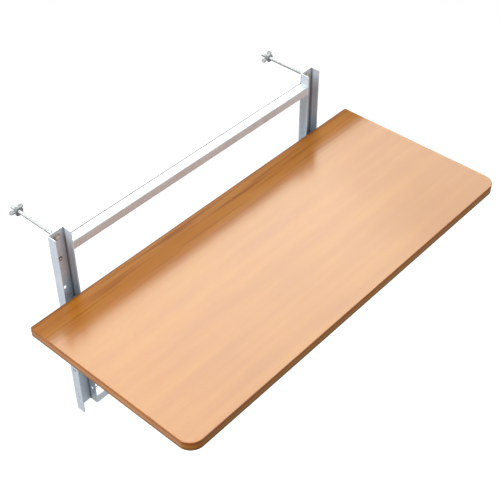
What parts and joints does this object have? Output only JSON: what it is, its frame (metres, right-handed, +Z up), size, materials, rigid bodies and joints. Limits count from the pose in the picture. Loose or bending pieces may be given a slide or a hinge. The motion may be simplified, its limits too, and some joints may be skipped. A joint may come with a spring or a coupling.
{
  "type": "folding railing table",
  "caption": "Folding railing table: a wooden top on hinged arms, channel uprights joined by cross rails, a fold-away prop, and long clamp bolts with wing nuts that hang it on a railing.",
  "frame": {"origin": "centre of the upper cross rail's rear face, in the plane of the uprights' rear faces, where the frame lies against the railing", "axes": "+X along the board from left to right, +Y out of the rear face toward the railing, +Z up"},
  "size_m": [0.8, 0.487, 0.412],
  "materials": {
    "top_wood": "stained and lacquered, glossy",
    "frame_steel": "galvanised, satin",
    "fastener_zinc": "zinc plated",
    "bolt_steel": "bright zinc plated",
    "pad_rubber": "matt black",
    "nylon_black": "matt black",
    "nylon_natural": "natural nylon"
  },
  "bodies": {
    "frame": {"upright_left": "frame_steel", "upright_right": "frame_steel", "upper_cross_rail": "frame_steel", "lower_cross_rail": "frame_steel", "hook_bolt_left": "bolt_steel", "hook_bolt_right": "bolt_steel", "hook_bolt_washers": "bolt_steel", "hook_bolt_nuts": "bolt_steel", "bumper_pads": "pad_rubber", "bumper_screws": "fastener_zinc", "lower_pads": "pad_rubber", "arm_pivot_pin_left": "fastener_zinc", "arm_pivot_pin_right": "fastener_zinc", "arm_pivot_washers": "nylon_natural", "prop_pivot_pin_left": "fastener_zinc", "prop_pivot_pin_right": "fastener_zinc", "prop_spacers_left": "nylon_natural", "prop_spacers_right": "nylon_natural"},
    "board": {"tabletop_board": "top_wood", "arm_left": "frame_steel", "arm_right": "frame_steel", "arm_screws_left": "fastener_zinc", "arm_screws_right": "fastener_zinc", "saddle_left": "nylon_black", "saddle_right": "nylon_black", "saddle_screws": "fastener_zinc"},
    "prop": {"prop_leg_left": "frame_steel", "prop_leg_right": "frame_steel", "prop_crossbar": "frame_steel", "prop_sleeves": "pad_rubber", "prop_leg_plugs": "nylon_black"},
    "washer_left": {"clamp_washer_left": "bolt_steel"},
    "washer_right": {"clamp_washer_right": "bolt_steel"},
    "nut_left": {"wing_nut_left": "bolt_steel"},
    "nut_right": {"wing_nut_right": "bolt_steel"}
  },
  "joints": [
    {"name": "board_fold", "type": "hinge", "parent": "frame", "child": "board", "pos_m": [0, -0.011, -0.122], "axis": [1, 0, 0], "range_deg": [0, 90]},
    {"name": "prop_fold", "type": "hinge", "parent": "frame", "child": "prop", "pos_m": [0, -0.011, -0.272], "axis": [1, 0, 0], "range_deg": [0, 135]},
    {"name": "clamp_travel_left", "type": "slide", "parent": "frame", "child": "washer_left", "axis": [0, -1, 0], "range_m": [-0.008, 0.08]},
    {"name": "wing_nut_turn_left", "type": "hinge", "parent": "washer_left", "child": "nut_left", "pos_m": [-0.305, 0.094, 0.019], "axis": [0, -1, 0], "range_deg": [-2880, 28800]},
    {"name": "clamp_travel_right", "type": "slide", "parent": "frame", "child": "washer_right", "axis": [0, -1, 0], "range_m": [-0.008, 0.08]},
    {"name": "wing_nut_turn_right", "type": "hinge", "parent": "washer_right", "child": "nut_right", "pos_m": [0.305, 0.094, 0.019], "axis": [0, -1, 0], "range_deg": [-2880, 28800]}
  ],
  "couplings": [
    {"joint": "prop_fold", "follows": "board_fold", "ratio": 1.5},
    {"joint": "clamp_travel_left", "follows": "wing_nut_turn_left", "m_per_rad": 0.00015915},
    {"joint": "clamp_travel_right", "follows": "wing_nut_turn_right", "m_per_rad": 0.00015915}
  ]
}
